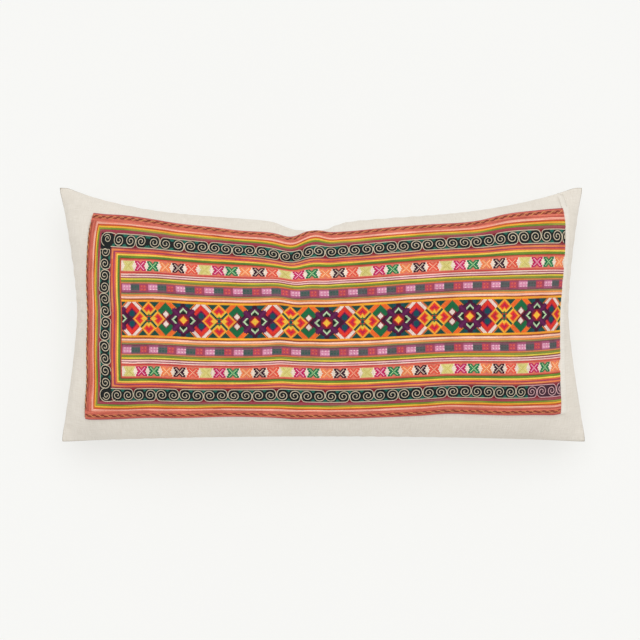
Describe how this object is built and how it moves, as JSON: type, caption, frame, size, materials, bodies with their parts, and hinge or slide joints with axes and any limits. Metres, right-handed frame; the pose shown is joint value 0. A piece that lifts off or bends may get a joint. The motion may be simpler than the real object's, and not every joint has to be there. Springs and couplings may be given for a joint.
{
  "type": "embroidered lumbar cushion",
  "caption": "Filled rectangular lumbar cushion in linen with a pieced and embroidered textile panel sewn on its face, lying on its back.",
  "frame": {"origin": "under the middle of the cushion, on the surface that it lies on", "axes": "+X along the cushion towards the end with the linen facing, +Y towards its top edge, +Z out of its embroidered face"},
  "size_m": [0.602, 0.292, 0.1186],
  "materials": {
    "linen": "washed plain-weave linen, matt",
    "ground_cloth": "hand-woven hemp ground, matt",
    "edge_band": "coral cotton with a twisted braid, matt",
    "outer_strips": "narrow folded cotton strips, pink, red, yellow, green and mauve",
    "spiral_band": "dark cloth with cream couched spirals and teal gaps",
    "inner_strips": "narrow folded cotton strips, orange, purple, yellow, green and red-brown",
    "star_row": "cross-stitched eight-point stars on a cream ground",
    "middle_strips": "narrow stitched strips, red, pink, purple, yellow, green and orange",
    "block_row": "stitched blocks of pink chequer, grey-teal and coral",
    "centre_strips": "narrow stitched strips, green, peach, pink, red-brown and orange-yellow",
    "centre_band": "dense cross-stitch in red, yellow, purple, green and orange"
  },
  "bodies": {
    "root": {"linen_cushion": "linen", "textile_ground": "ground_cloth", "edge_band_top": "edge_band", "edge_band_bottom": "edge_band", "edge_band_left": "edge_band", "outer_strips_top": "outer_strips", "outer_strips_bottom": "outer_strips", "outer_strips_left": "outer_strips", "spiral_band_top": "spiral_band", "spiral_band_bottom": "spiral_band", "spiral_band_left": "spiral_band", "inner_strips_top": "inner_strips", "inner_strips_bottom": "inner_strips", "inner_strips_left": "inner_strips", "star_row_top": "star_row", "star_row_bottom": "star_row", "middle_strips_top": "middle_strips", "middle_strips_bottom": "middle_strips", "block_row_top": "block_row", "block_row_bottom": "block_row", "centre_strips_top": "centre_strips", "centre_strips_bottom": "centre_strips", "centre_band": "centre_band", "end_facing": "linen"}
  },
  "joints": []
}
